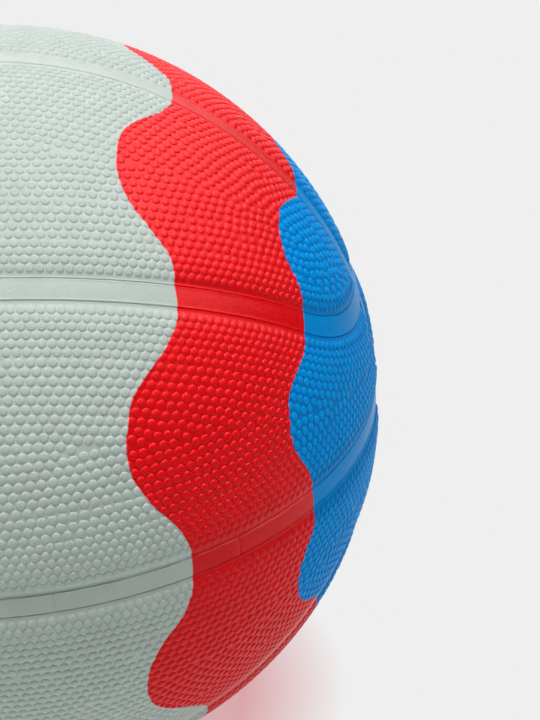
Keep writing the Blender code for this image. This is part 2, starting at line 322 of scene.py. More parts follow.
def push_apart(points, fixed, spacing):
    """All points after the fixed ones move away from neighbours that are nearer than the spacing."""
    near = np.argpartition(gaps_between(points), NEIGHBOURS, axis=1)[:, :NEIGHBOURS]
    for _ in range(PUSH_ROUNDS):
        away = points[:, None] - points[near]
        apart = np.linalg.norm(away, axis=-1, keepdims=True) * BALL_RADIUS
        move = (away * np.clip(spacing / apart - 1, 0, None)).sum(axis=1) * PUSH_SHARE
        move[:fixed] = 0
        points = unit(points + move)
    return points


def thin_out(points):
    """Drops the later of any two points that are too near to be separate beads."""
    kept = np.ones(len(points), bool)
    for i, j in np.argwhere(np.triu(gaps_between(points) < LEAST_PITCH)):
        if kept[i]:
            kept[j] = False
    return points[kept]


print("pebbles stay", LEAST_PITCH * 1000, "mm apart or more")

# %% Pebble layout
FIRST_ROW = 0.0027
ROW_SPACING = 0.00245
LENS_NEAT_ROWS = 4
SIDE_NEAT_ROWS = 6
LOOSE_PITCH = 0.00315
LOOSE_SPACING = 0.00266
SHAKE = 0.00038


def lay_pebbles(from_edge, middle, reach, neat_rows, seed, rings=()):
    """Centres of the pebbles: neat rows along the edge, then looser rows to the middle of the panel."""
    rng = np.random.default_rng(seed)
    row = spaced(walk(from_edge, middle, FIRST_ROW), PEBBLE_PITCH)
    neat = [*rings, row]
    for k in range(1, neat_rows):
        level = FIRST_ROW + k * ROW_SPACING
        between = unit(row + np.roll(row, -1, axis=0))
        row = settle(from_edge, between, level, level + TURN_RADIUS)[0]
        neat.append(row)
    neat = thin_out(np.vstack(neat))
    loose = []
    levels = np.arange(level + LOOSE_SPACING, reach - LOOSE_SPACING / 2, LOOSE_SPACING)
    for k, level in enumerate(levels):
        half_step = 0.5 * (k % 2)
        loose.append(spaced(walk(from_edge, middle, level), LOOSE_PITCH, half_step))
    loose = np.vstack(loose)
    loose = unit(loose + rng.normal(0, SHAKE / BALL_RADIUS, loose.shape))
    if rings:
        clear = np.max(middle @ rings[-1].T)
        loose = loose[loose @ middle < clear]
    return thin_out(push_apart(np.vstack([neat, loose]), len(neat), LOOSE_PITCH))


lens_pebbles = lay_pebbles(from_lens_edge, lens_middle, lens_reach, LENS_NEAT_ROWS, seed=11)
side_pebbles = lay_pebbles(from_side_edge, side_middle, side_reach, SIDE_NEAT_ROWS, seed=12)
valve_pebbles = lay_pebbles(
    from_side_edge, side_middle, side_reach, SIDE_NEAT_ROWS, seed=13, rings=valve_rings,
)
print("pebbles:", len(lens_pebbles), len(side_pebbles), len(valve_pebbles))

# %% [markdown]
# ## The ground and its rolled edge
#
# Between the pebbles the rubber is a plain ball, a pebble's height below their tops. Near a seam the mould
# rolls it down into the channel, with a hair of a bead and a small round along the lip. A bevel modifier
# could make that edge on a simple mesh, but here the height is worked out from the distance field, so
# pebbles ride down the roll too.

# %% Ground
PEBBLE_HEIGHT = 0.0004
ROLL_WIDTH = 0.0078
ROLL_DROP = 0.00105
ROLL_POWER = 1.9
LIP_BEAD = 0.0002
LIP_BEAD_WIDTH = 0.00018
LIP_BEAD_HEIGHT = 0.00016
LIP_ROUND = 0.0001
LIP_ROWS = (0.0, 0.00004, 0.00011, 0.0002, 0.00031, 0.00045, 0.0008)


def lip(distance):
    """How far the small round of a lip falls at a distance from its edge."""
    into = np.clip(LIP_ROUND - distance, 0, LIP_ROUND)
    return LIP_ROUND - np.sqrt(LIP_ROUND**2 - into**2)


def bead(height, width, off):
    """How high a round bead of this width stands at a distance off its middle."""
    return height * np.exp(-((off / width) ** 2))


def ground(distance):
    """Radius of the ground at a distance from the panel's edge."""
    roll = ROLL_DROP * np.clip(1 - distance / ROLL_WIDTH, 0, 1) ** ROLL_POWER
    raised = bead(LIP_BEAD_HEIGHT, LIP_BEAD_WIDTH, distance - LIP_BEAD)
    return BALL_RADIUS - PEBBLE_HEIGHT - roll + raised - lip(distance)


lens_lips = [settle(from_lens_edge, lens_outline, level, PANEL_CORNER)[0] for level in LIP_ROWS]
side_lips = [settle(from_side_edge, side_outline, level, PANEL_CORNER)[0] for level in LIP_ROWS]
lip_radii = [round(float(ground(level)) * 1000, 2) for level in LIP_ROWS]
print("ground at the lip:", lip_radii, "mm from the centre")

# %% [markdown]
# ## One pebble
#
# A pebble is a low button with a steep side and a nearly flat top: a ring where it meets the ground, two
# rings up its side and a point on top. It fills most of the room that its nearest neighbour leaves, so
# crowded pebbles are smaller, as they are in the mould. Each ring below is a share of the radius, a share
# of the height and a number of sides.

# %% Pebble rings
PEBBLE_RADIUS = 0.0014
ROOM_SHARE = 0.475
RADIUS_SPREAD = (0.97, 1.03)
HEIGHT_SPREAD = (0.94, 1.0)
RINGS = ((1.0, 0.0, 12), (0.9, 0.52, 12), (0.66, 0.88, 8))
FOOT_SIDES = RINGS[0][2]


def pebble_rings(centres, rng):
    """Ring points of every pebble, from the foot rings to the tops, with their heights."""
    room = gaps_between(centres).min(axis=1) * ROOM_SHARE
    radius = np.minimum(PEBBLE_RADIUS * rng.uniform(*RADIUS_SPREAD, len(centres)), room)
    height = PEBBLE_HEIGHT * radius / PEBBLE_RADIUS * rng.uniform(*HEIGHT_SPREAD, len(centres))
    first, second = tangents(centres)
    turn = rng.uniform(0, 2 * math.pi, len(centres))
    points, heights = [], []
    for share, rise, sides in RINGS:
        angle = turn[:, None] + np.arange(sides) * 2 * math.pi / sides
        spread = np.tan(radius * share / BALL_RADIUS)[:, None, None]
        ring = first[:, None] * np.cos(angle)[..., None] + second[:, None] * np.sin(angle)[..., None]
        points.append(unit(centres[:, None] + spread * ring).reshape(-1, 3))
        heights.append(np.repeat(height * rise, sides))
    return np.vstack([*points, centres]), np.concatenate([*heights, height])


print("one pebble:", sum(sides for _, _, sides in RINGS) + 1, "points,", PEBBLE_HEIGHT * 1000, "mm high")

# %% [markdown]
# ## Knitting the skin
#
# A displaced grid would need millions of faces to draw round beads. Instead every ring is laid flat on a
# stereographic map, which keeps circles round, and one Delaunay triangulation knits domes, ground and lip
# into a single skin. The edges of the outline and of each pebble's foot are held, so no triangle cuts them.

# %% Knitting
INSIDE_HELD_EDGES = 1
SAME_PLACE = 1e-9


def chain(start, count):
    """The edges of a closed loop of points that follow each other in a list."""
    return [(start + k, start + (k + 1) % count) for k in range(count)]


def knit(points, middle, borders, chains):
    """Triangles between points of the ball, along every chain, on the left of each border."""
    first, second = tangents(middle)
    places = np.stack([points @ first, points @ second], axis=-1) / (1 + points @ middle)[:, None]
    held = [edge for start, count in [*borders, *chains] for edge in chain(start, count)]
    flat = [Vector(place) for place in places]
    made = delaunay_2d_cdt(flat, held, [], INSIDE_HELD_EDGES, SAME_PLACE, True)
    source = np.array([olds[0] for olds in made[3]])
    if len(source) != len(points):
        raise RuntimeError("two pebbles cross")
    triangles = source[np.array(made[2])]
    for start, count in borders:
        on_border = ((triangles >= start) & (triangles < start + count)).all(axis=1)
        to_second, to_third = (triangles[:, 1:] - triangles[:, :1]).T % count
        triangles = triangles[~(on_border & (to_second > to_third))]
    return triangles


print("held edges:", len(chain(0, FOOT_SIDES)), "for each pebble,", len(lens_outline), "for a lens panel")

# %% [markdown]
# ## A flat map of a panel
#
# A mesh needs a flat map before its paint can be baked into an image. An automatic unwrap would cut a
# pebbled panel into thousands of islands. An equal-area map from above keeps the skin whole and gives every
# pebble the same room. The walls and the inside get narrow bands below it.

# %% Map
MAP_EDGE = 0.01
MAP_SKIN = (0.2, 0.99)
MAP_INSIDE = (0.01, 0.13)
MAP_WALLS = ((0.16, 0.19), (0.14, 0.15))


def equal_area(points, middle, low, high):
    """Places of points on a map of a panel, squeezed into the unit square between two heights."""
    first, second = tangents(middle)
    across = np.stack([points @ second, points @ first], axis=-1)
    across *= np.sqrt(2 / (1 + points @ middle))[..., None]
    across /= np.abs(across).max(axis=(0, 1)) * 2
    return (across + 0.5) * (1 - 2 * MAP_EDGE, high - low) + (MAP_EDGE, low)


def panel_map(outside, inside, middle, counts):
    """A map for baking, corner by corner: the skin on top, the unrolled walls below it, then the inside."""
    parts = [equal_area(outside, middle, *MAP_SKIN), equal_area(inside, middle, *MAP_INSIDE)]
    for count, (low, high) in zip(counts, MAP_WALLS):
        here = np.arange(count) / count * (1 - 2 * MAP_EDGE) + MAP_EDGE
        ahead = here + (1 - 2 * MAP_EDGE) / count
        top, next_top, foot, next_foot = (
            np.stack([way, way * 0 + level], axis=-1) for level in (high, low) for way in (here, ahead)
        )
        parts.append(np.stack([top, foot, next_foot], axis=1))
        parts.append(np.stack([top, next_foot, next_top], axis=1))
    return np.vstack(parts)


print("map bands:", MAP_SKIN, "for the skin,", MAP_INSIDE, "for the inside")

# %% [markdown]
# ## A panel as a solid
#
# A real panel is a sheet of rubber, thinner than two millimetres. A solidify modifier would copy every
# pebble to the inside, where nobody sees it. Here the inside is plain, and a wall along each edge joins it
# to the skin, so the piece is closed.

# %% Panel solids
PANEL_THICKNESS = 0.0016
INSIDE_SHARE = 14


def panel_solid(from_edge, middle, edges, centres, seed, rise=None):
    """Points and triangles of a closed panel: pebbled skin, plain inside, walls between, and their map."""
    domes, heights = pebble_rings(centres, np.random.default_rng(seed))
    lips = np.vstack([row for rows in edges for row in rows])
    skin = np.vstack([lips, domes])
    lift = ground(from_edge(skin))
    lift[len(lips):] += heights
    if rise is not None:
        lift += rise(skin)
    starts = np.cumsum([0] + [sum(len(row) for row in rows) for rows in edges])
    borders = [(start, len(rows[0])) for start, rows in zip(starts, edges)]
    feet = [(len(lips) + k * FOOT_SIDES, FOOT_SIDES) for k in range(len(centres))]
    outside = knit(skin, middle, borders, feet)

    under = np.vstack([*[rows[0] for rows in edges], centres[::INSIDE_SHARE]])
    low_starts = np.cumsum([0] + [count for _, count in borders])
    low_borders = [(start, count) for start, (_, count) in zip(low_starts, borders)]
    inside = knit(under, middle, low_borders, [])[:, ::-1]

    walls = []
    for (start, count), (low_start, _) in zip(borders, low_borders):
        top = np.arange(start, start + count)
        low = np.arange(low_start, low_start + count) + len(skin)
        walls.append(np.stack([top, low, np.roll(low, -1)], axis=-1))
        walls.append(np.stack([top, np.roll(low, -1), np.roll(top, -1)], axis=-1))
    points = np.vstack([skin * lift[:, None], under * (BALL_RADIUS - PANEL_THICKNESS)])
    counts = [count for _, count in borders]
    triangles = np.vstack([outside, inside + len(skin), *walls])
    return points, triangles, panel_map(skin[outside], under[inside], middle, counts)


lens_solid = panel_solid(from_lens_edge, lens_middle, [lens_lips], lens_pebbles, seed=21)
side_solid = panel_solid(from_side_edge, side_middle, [side_lips], side_pebbles, seed=22)
print("lens panel:", len(lens_solid[1]), "triangles, side panel:", len(side_solid[1]))

# %% [markdown]
# ## The panel with the valve
#
# One side panel has a round hole for the valve. Moulds leave it a smooth collar with a low bead round it,
# so that the needle finds its way. The hole is one more held loop in the triangulation, walked the other
# way round, and the bead is a small rise in the ground.

# %% Valve panel
VALVE_HOLE = 0.0047
COLLAR_BEAD = 0.0021
COLLAR_BEAD_WIDTH = 0.0005
COLLAR_BEAD_HEIGHT = 0.00028
COLLAR_ROWS = (0.0014, 0.0017, 0.0019, 0.0021, 0.0023, 0.0025, 0.0028)


def collar(points):
    """The valve hole's own lip, and the bead round it."""
    distance = BALL_RADIUS * np.arccos(np.clip(points @ side_middle, -1, 1)) - VALVE_HOLE
    raised = bead(COLLAR_BEAD_HEIGHT, COLLAR_BEAD_WIDTH, distance - COLLAR_BEAD)
    return raised - lip(np.maximum(distance, 0))


hole_radii = [VALVE_HOLE + row for row in [*LIP_ROWS, *COLLAR_ROWS]]
hole_rows = [circle(side_middle, radius, WALK_STEP / 2)[::-1] for radius in hole_radii]
valve_solid = panel_solid(
    from_side_edge, side_middle, [side_lips, hole_rows], valve_pebbles, seed=23, rise=collar,
)
print("valve panel:", len(valve_solid[1]), "triangles")

# %% [markdown]
# ## Eight panels in their places
#
# The four quarters of the ball are alike. A half turn about one of the axes carries a quarter on to
# another, and a half turn only flips two signs of every point. Each copy keeps its points in the ball's own
# coordinates, so that one paint pattern can run across all the pieces.

# %% Panels
CREASE = math.radians(48)
QUARTERS = ((1, 1, 1), (-1, -1, 1), (-1, 1, -1), (1, -1, -1))
LENS_NAMES = ("top_front", "top_back", "bottom_front", "bottom_back")
SIDE_NAMES = ("upper_front", "upper_back", "lower_front", "lower_back")
VALVE_SIDE = "upper_back"


def new_piece(name, node, slot, points, faces, places=None):
    """A smooth mesh that stands for one CAD node, which it hides. The slot is not used."""
    mesh = bpy.data.meshes.new(name)
    mesh.from_pydata(points, [], faces)
    if places is not None:
        mesh.uv_layers.new(name="OFBake").uv.foreach_set("vector", places.astype(np.float32).ravel())
    mesh.shade_smooth()
    mesh.set_sharp_from_angle(angle=CREASE)
    piece = new_object(name, mesh)
    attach(piece, "root")
    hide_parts(node)
    return piece


panels = []
for flips, lens_name, side_name in zip(QUARTERS, LENS_NAMES, SIDE_NAMES):
    for name, (points, triangles, places) in (
        (lens_name, lens_solid),
        (side_name, valve_solid if side_name == VALVE_SIDE else side_solid),
    ):
        node = name + "_panel"
        panels.append(new_piece("pebbled_" + node, node, "cover_rubber", points * flips, triangles, places))
print("panels:", len(panels), "with", sum(len(panel.data.polygons) for panel in panels), "triangles")

# %% [markdown]
# ## The channel strips
#
# The flat bands between the panels are strips of smooth rubber that lie a little lower than the pebbles,
# with a hair of a bead along both edges that catches the light. A curve with a bevel profile would follow
# the seam too, but would twist on its way round a ball. Here each cross-section stands square on the ball,
# and faces join one to the next.

# %% Strip section
STRIP_FACE = BALL_RADIUS - 0.0012
STRIP_FOOT = 0.11709
STRIP_LEDGE = BALL_RADIUS - 0.00158
STRIP_CROWN = 0.00007
BEAD_MM = (
    (0.0, -0.15), (0.04, 0.0), (0.12, 0.06), (0.22, 0.08), (0.34, 0.05), (0.5, 0.0),
    (1.0, 0.02), (2.0, 0.055),
)
END_GAP = 0.00003


def strip_profile():
    """Places across a strip and their radii, from the right foot over the face to the left foot."""
    right = [(EDGE - END_GAP, STRIP_FOOT), (EDGE - END_GAP, STRIP_LEDGE)]
    for inward, rise in BEAD_MM:
        right.append((STRIP_WIDTH / 2 - inward / 1000, STRIP_FACE + rise / 1000))
    left = [(-place, height) for place, height in right[::-1]]
    return np.array([*right, (0.0, STRIP_FACE + STRIP_CROWN), *left]).T


print("strip section:", len(strip_profile()[0]), "points")

# %% [markdown]
# ## Laying the strips
#
# Real strips are laid into the seams one by one and butt together, with a hairline where they meet, and a
# short piece closes the equator's. An array modifier along a curve only takes whole repeats. Sections at
# even steps along the seam fit any length.

# %% Strips
STRIP_STEP = 0.0012
END_ROUND = 0.0001
CLOSING_START = 0.1075
CLOSING_LENGTH = 0.059
CLOSING_END = CLOSING_START + CLOSING_LENGTH
STRIP_END = STRIP_WIDTH / 2 + END_GAP


def strip_solid(seam, start, end):
    """Points and faces of one strip along a seam, with softly rounded ends."""
    across, radius = strip_profile()
    middle_ways = np.linspace(start + END_ROUND, end - END_ROUND, round((end - start) / STRIP_STEP))
    ways = np.array([start, start + END_ROUND / 3, *middle_ways, end - END_ROUND / 3, end])
    from_end = np.minimum(ways - start, end - ways)
    fall = END_ROUND * np.clip(1 - from_end / END_ROUND, 0, 1) ** 2
    on_seam, to_side = seam(ways)[:, None], side_of(seam, ways)[:, None]
    angle = (across / BALL_RADIUS)[:, None]
    radii = np.where(radius > STRIP_LEDGE, radius - fall[:, None], radius)
    points = (on_seam * np.cos(angle) + to_side * np.sin(angle)) * radii[..., None]
    rows, sides = radii.shape
    near = np.arange(rows * sides).reshape(rows, sides)
    left, ahead = np.roll(near, -1, axis=1), np.roll(near, -1, axis=0)
    quads = np.stack([near, ahead, np.roll(ahead, -1, axis=1), left], axis=-1)[:-1].reshape(-1, 4)
    ends = [near[0].tolist(), near[-1, ::-1].tolist()]
    return points.reshape(-1, 3), quads.tolist() + ends


strips = []


def lay_strip(node, seam, start, end, flips=(1, 1, 1)):
    """One strip along a seam, carried to its quarter of the ball."""
    points, faces = strip_solid(seam, start, end)
    strips.append(new_piece("painted_" + node, node, "channel_rubber", points * flips, faces))


lay_strip("equator_closing_strip", equator, CLOSING_START + END_GAP, CLOSING_END)
lay_strip("equator_strip", equator, CLOSING_END + END_GAP, 4 * QUARTER + CLOSING_START)
lay_strip("top_meridian_strip", meridian, STRIP_END, 2 * QUARTER - STRIP_END)
lay_strip("bottom_meridian_strip", meridian, STRIP_END, 2 * QUARTER - STRIP_END, QUARTERS[3])
for flips, name in zip(QUARTERS, LENS_NAMES):
    lay_strip(name + "_arc_strip", arc_seam, STRIP_END, 2 * ARC_HALF - STRIP_END, flips)
print("strips:", len(strips), "with", sum(len(strip.data.polygons) for strip in strips), "faces")

# %% [markdown]
# ## The valve
#
# A rubber boot fills the hole, and a soft core closes it. Only their faces show: a ring with a rounded rim,
# and a disc with a dimple for the needle. Both are round, so a half profile is spun about the valve's axis,
# as a spin or a screw modifier would do. Done here, points that meet on the axis become one.

# %% Valve
VALVE_FACE = BALL_RADIUS - 0.0006
VALVE_SIDES = 64
SAME_PLACE_DIGITS = 9
BOOT_PROFILE_MM = (
    (3.30, -0.15), (3.45, 0.0), (4.15, 0.0), (4.33, -0.07), (4.40, -0.25), (4.40, -6.4), (15.0, -7.2),
    (15.0, -8.4), (4.40, -7.6), (4.40, -19.4), (2.20, -19.4), (2.20, -1.3), (3.30, -1.3),
)
CORE_PROFILE_MM = (
    (0.90, -0.55), (1.10, -0.30), (1.40, -0.10), (1.80, -0.02), (2.60, -0.02), (2.88, -0.08), (3.00, -0.25),
    (3.00, -1.0), (1.90, -1.0), (1.90, -19.7), (3.10, -19.7), (3.10, -21.2), (1.90, -22.7), (0.0, -22.7),
    (0.0, -21.2), (0.90, -21.2),
)


def turned(profile_mm, axis):
    """A closed half profile of distances and heights in millimetres, spun about an axis of the ball."""
    first, second = tangents(axis)
    distance, height = np.array(profile_mm).T / 1000
    turn = np.linspace(0, 2 * math.pi, VALVE_SIDES, endpoint=False)[:, None, None]
    spoke = first * np.cos(turn) + second * np.sin(turn)
    points = spoke * distance[:, None] + axis * (VALVE_FACE + height)[:, None]
    here = np.arange(points.shape[0] * points.shape[1]).reshape(points.shape[:2])
    along, ahead = np.roll(here, -1, axis=1), np.roll(here, -1, axis=0)
    quads = np.stack([here, along, np.roll(ahead, -1, axis=1), ahead], axis=-1)
    points = points.reshape(-1, 3).round(SAME_PLACE_DIGITS)
    points, place = np.unique(points, axis=0, return_inverse=True)
    corners = [list(dict.fromkeys(quad)) for quad in place.reshape(-1)[quads.reshape(-1, 4)].tolist()]
    return points, [face for face in corners if len(face) > 2]


valve_axis = side_middle * QUARTERS[1]
boot = new_piece("turned_valve_boot", "valve_boot", "valve_rubber", *turned(BOOT_PROFILE_MM, valve_axis))
core = new_piece("turned_valve_core", "valve_core", "valve_rubber", *turned(CORE_PROFILE_MM, valve_axis))
print("valve:", len(boot.data.polygons), "and", len(core.data.polygons), "faces")

# %% [markdown]
# ## Colours and nodes
#
# Colours are written as sRGB hex values, as a paint chart gives them, and Blender's shaders want linear
# light, so one function turns them. Another adds a node to a material with its settings and links in one
# line, which keeps a material readable as a recipe.

# %% Helpers for materials


def linear(hex_colour):
    """An sRGB hex colour as linear red, green, blue and alpha."""
    parts = [int(hex_colour[k:k + 2], 16) / 255 for k in (1, 3, 5)]
    return [part / 12.92 if part <= 0.04045 else ((part + 0.055) / 1.055) ** 2.4 for part in parts] + [1.0]


def add(tree, kind, inputs, **settings):
    """The outputs of a new shader node, with its settings, and with inputs set to values or linked."""
    node = tree.nodes.new("ShaderNode" + kind)
    for name, value in settings.items():
        setattr(node, name, value)
    for socket, value in inputs.items():
        if isinstance(value, bpy.types.NodeSocket):
            tree.links.new(value, node.inputs[socket])
        else:
            node.inputs[socket].default_value = value
    return node.outputs


def new_material(name):
    """A material with no surface yet, its tree, and the place of each point on the object."""
    material = bpy.data.materials.new(name)
    material.use_nodes = True
    tree = material.node_tree
    tree.nodes.clear()
    return material, tree, add(tree, "TexCoord", {})["Object"]


print("half grey as linear light:", [round(part, 3) for part in linear("#808080")])

# %% [markdown]
# ## The sprayed pattern
#
# The colours were sprayed on through masks: a blue centre at one pole, a red field round it with a wavy
# border, and pale mint over the rest. An image texture would need an unwrapped ball. Here the pattern is
# worked out from the direction of each point: the angle from the pole says which colour, and eight waves
# about the axis move the borders in and out. A little noise makes the angle as unsteady as a mask's edge.

# %% Wavy borders
WAVES = 8
WAVE_FULLNESS = 0.3
RED_BORDER = math.radians(64.0)
RED_SWING = math.radians(4.3)
BLUE_BORDER = math.radians(38.5)
BLUE_SWING = math.radians(2.6)
BORDER_WOBBLE = math.radians(0.9)
WOBBLE_SIZE = 0.012


def round_the_pole(tree, place):
    """The angle from the +X pole, a little unsteady, and a wave that rises and falls round the pole."""
    outward = add(tree, "VectorMath", {0: place}, operation="NORMALIZE")[0]
    parts = add(tree, "SeparateXYZ", {0: outward})
    polar = add(tree, "Math", {0: parts["X"]}, operation="ARCCOSINE")[0]
    front = add(tree, "Math", {0: parts["Y"], 1: -1.0}, operation="MULTIPLY")[0]
    turn = add(tree, "Math", {0: parts["Z"], 1: front}, operation="ARCTAN2")[0]
    turns = add(tree, "Math", {0: turn, 1: float(WAVES)}, operation="MULTIPLY")[0]
    wave = add(tree, "Math", {0: turns}, operation="COSINE")[0]
    square = add(tree, "Math", {0: wave, 1: wave}, operation="MULTIPLY")[0]
    shape = {0: square, 1: -WAVE_FULLNESS, 2: 1 + WAVE_FULLNESS}
    fuller = add(tree, "Math", shape, operation="MULTIPLY_ADD")[0]
    full_wave = add(tree, "Math", {0: wave, 1: fuller}, operation="MULTIPLY")[0]
    shaky = add(tree, "TexNoise", {"Vector": place, "Scale": 1 / WOBBLE_SIZE, "Detail": 1.0})[0]
    wobble = {0: shaky, 1: BORDER_WOBBLE, 2: -BORDER_WOBBLE / 2}
    off = add(tree, "Math", wobble, operation="MULTIPLY_ADD")[0]
    return add(tree, "Math", {0: polar, 1: off}, operation="ADD")[0], full_wave


borders = [round(math.degrees(border), 1) for border in (RED_BORDER, BLUE_BORDER)]
print("borders:", borders, "degrees from the pole")

# %% [markdown]
# ## The paints
#
# Red and blue are darker in the valleys between the pebbles and down the rolled edges, which is painted
# shade, and lighter on the pebble tops, which is a painted highlight. A smooth strip takes the colour half
# way between the two. Red shines the most, blue the least. Vertex colours could hold all this, but the
# height of a point says it too. A faint mottle stands for the uneven pass of the spray gun.

# %% Paint
MINT = "#CCD6D0"
# red and blue on the pebble tops, each with a darker copy as painted shade for the valleys and rolled edges
RED = "#F60614"
RED_PAINTED_SHADE = "#EE0613"
BLUE = "#00A0F4"
BLUE_PAINTED_SHADE = "#008DDC"
RED_SHINE = 0.15
BLUE_SHINE = 0.03
# painted shade: full at the ground, gone this share of a pebble's height below its top; strips get half of
# it
SHADE_CLEARS_AT = 0.3
STRIP_TOP_SHARE = 0.5
BORDER_BLUR = 0.0002 / BALL_RADIUS
NOISE_LOW, NOISE_HIGH = 0.3, 0.7
MOTTLE_SIZE = 0.006
MOTTLE_DARK, MOTTLE_BRIGHT = 0.96, 1.03


def sprayed_paint(tree, place, mint_shine, painted_valleys):
    """Paint colour and shine: painted shade in valleys, painted highlight on tops, or half way for strips.
    """
    polar, wave = round_the_pole(tree, place)
    # painted shade: red and blue darken from the pebble tops down to the ground and rolled edges, by height
    top_share = STRIP_TOP_SHARE
    if painted_valleys:
        height = add(tree, "VectorMath", {0: place}, operation="LENGTH")["Value"]
        valley, top = BALL_RADIUS - PEBBLE_HEIGHT, BALL_RADIUS - SHADE_CLEARS_AT * PEBBLE_HEIGHT
        top_share = add(tree, "MapRange", {0: height, 1: valley, 2: top})[0]
    colour, shine = linear(MINT), mint_shine
    for border, swing, shaded_paint, paint, paint_shine in (
        (RED_BORDER, RED_SWING, RED_PAINTED_SHADE, RED, RED_SHINE),
        (BLUE_BORDER, BLUE_SWING, BLUE_PAINTED_SHADE, BLUE, BLUE_SHINE),
    ):
        shade_mix = add(tree, "Mix", {0: top_share, 6: linear(shaded_paint), 7: linear(paint)}, data_type="RGBA")[2]
        edge = add(tree, "Math", {0: wave, 1: -swing, 2: border}, operation="MULTIPLY_ADD")[0]
        within = add(tree, "Math", {0: edge, 1: polar}, operation="SUBTRACT")[0]
        share = add(tree, "MapRange", {0: within, 1: -BORDER_BLUR, 2: BORDER_BLUR})[0]
        colour = add(tree, "Mix", {0: share, 6: colour, 7: shade_mix}, data_type="RGBA")[2]
        shine = add(tree, "Mix", {0: share, 2: shine, 3: paint_shine})[0]
    mottle = add(tree, "TexNoise", {"Vector": place, "Scale": 1 / MOTTLE_SIZE, "Detail": 3.0})[0]
    spread = {0: mottle, 1: NOISE_LOW, 2: NOISE_HIGH, 3: MOTTLE_DARK, 4: MOTTLE_BRIGHT}
    value = add(tree, "MapRange", spread)[0]
    return add(tree, "HueSaturation", {"Value": value, "Color": colour})[0], shine


print("paints:", MINT, RED, BLUE)

# %% [markdown]
# ## Painted cover rubber
#
# The panels are moulded rubber under a thin flexible paint. It is satin, not glossy: each pebble carries a
# soft highlight, and the ground between shows a fine crinkle from the mould. A bump is enough for that
# grain, because the pebbles themselves are real geometry. The strips lay against a smoother part of the
# mould, so their paint has a clearer sheen, broken by a shallow grain.

# %% Cover rubber
# size and depth of the grain: on a real ball it is finer, too fine to show here, so it is drawn coarser
COVER_GRAIN = (0.0005, 0.00005)
CHANNEL_GRAIN = (0.0007, 0.00014)
COVER_ROUGHNESS = (0.28, 0.38)
CHANNEL_ROUGHNESS = (0.2, 0.28)
COVER_MINT_SHINE = 0.07
CHANNEL_MINT_SHINE = 0.11


def painted_rubber(name, grain, roughness, mint_shine, painted_valleys):
    """Rubber under a thin satin paint that follows the grain of the mould."""
    material, tree, place = new_material(name)
    colour, shine = sprayed_paint(tree, place, mint_shine, painted_valleys)
    grain_size, grain_depth = grain
    crinkle = add(tree, "TexNoise", {"Vector": place, "Scale": 1 / grain_size, "Detail": 2.0})[0]
    relief = add(tree, "Bump", {"Strength": 1.0, "Distance": grain_depth, "Height": crinkle})[0]
    spread = {0: crinkle, 1: NOISE_LOW, 2: NOISE_HIGH, 3: roughness[0], 4: roughness[1]}
    rough = add(tree, "MapRange", spread)[0]
    shader = add(tree, "BsdfPrincipled", {
        "Base Color": colour, "Roughness": rough, "Normal": relief,
        "IOR": 1.5, "Specular IOR Level": shine,
    })
    add(tree, "OutputMaterial", {"Surface": shader[0]})
    return material


# pebbled in the mould, then sprayed and cured: soft broken highlights, and painted shade in valleys below
# lighter tops
cover_rubber = painted_rubber(
    "painted_cover_rubber", COVER_GRAIN, COVER_ROUGHNESS, COVER_MINT_SHINE, painted_valleys=True,
)
# laid in as a strip and pressed smooth, then sprayed with the panels: half the painted shade, a clearer
# sheen
channel_rubber = painted_rubber(
    "painted_channel_rubber", CHANNEL_GRAIN, CHANNEL_ROUGHNESS, CHANNEL_MINT_SHINE, painted_valleys=False,
)
for panel in panels:
    panel.data.materials.append(cover_rubber)
for strip in strips:
    strip.data.materials.append(channel_rubber)
print("rubber nodes:", [len(rubber.node_tree.nodes) for rubber in (cover_rubber, channel_rubber)])

# %% [markdown]
# ## Black rubber
#
# The carcass, the bladder and the valve are black rubber: the carcass moulded and dull, the butyl bladder
# smooth and a little shiny. Sulphur and wax come out of such rubber and cloud it unevenly, which is called
# bloom. A plain dark colour would look like plastic. Little of it shows except as darkness in the grooves,
# but the layers are real pieces, so each has its own finish.

# %% Black rubber
CARCASS_BLACK = "#1B1B1C"
BUTYL_BLACK = "#151517"
BLOOM_SIZE = 0.0012
BLOOM_DARK, BLOOM_PALE = 0.75, 1.35
SMOOTHER, ROUGHER = 0.08, 0.1


def black_rubber(name, colour, roughness, grain_depth):
    """Black rubber: dull, with a bloom that clouds it unevenly."""
    material, tree, place = new_material(name)
    bloom = add(tree, "TexNoise", {"Vector": place, "Scale": 1 / BLOOM_SIZE, "Detail": 4.0})[0]
    rough = add(tree, "MapRange", {0: bloom, 3: roughness - SMOOTHER, 4: roughness + ROUGHER})[0]
    value = add(tree, "MapRange", {0: bloom, 3: BLOOM_DARK, 4: BLOOM_PALE})[0]
    clouded = add(tree, "HueSaturation", {"Value": value, "Color": linear(colour)})[0]
    relief = add(tree, "Bump", {"Distance": grain_depth, "Height": bloom})[0]
    shader = add(tree, "BsdfPrincipled", {
        "Base Color": clouded, "Roughness": rough, "Normal": relief, "IOR": 1.52,
    })
    add(tree, "OutputMaterial", {"Surface": shader[0]})
    return material


valve_rubber = black_rubber("moulded_valve_rubber", CARCASS_BLACK, roughness=0.6, grain_depth=0.00004)
for piece in (boot, core):
    piece.data.materials.append(valve_rubber)
inner_finishes = {
    "carcass": black_rubber("moulded_carcass_rubber", CARCASS_BLACK, roughness=0.75, grain_depth=0.00008),
    "bladder": black_rubber("smooth_butyl_rubber", BUTYL_BLACK, roughness=0.45, grain_depth=0.00002),
}
print("rubber:", valve_rubber.name, [finish.name for finish in inner_finishes.values()])

# %% [markdown]
# ## Wound nylon
#
# Nylon thread is wound over the bladder in every direction, which keeps the ball round. A hair system could
# lay real threads, but this layer only shows when the ball is taken apart. Three wave textures that cross
# each other, with the highest thread on top and painted shade where the threads dip, are enough.

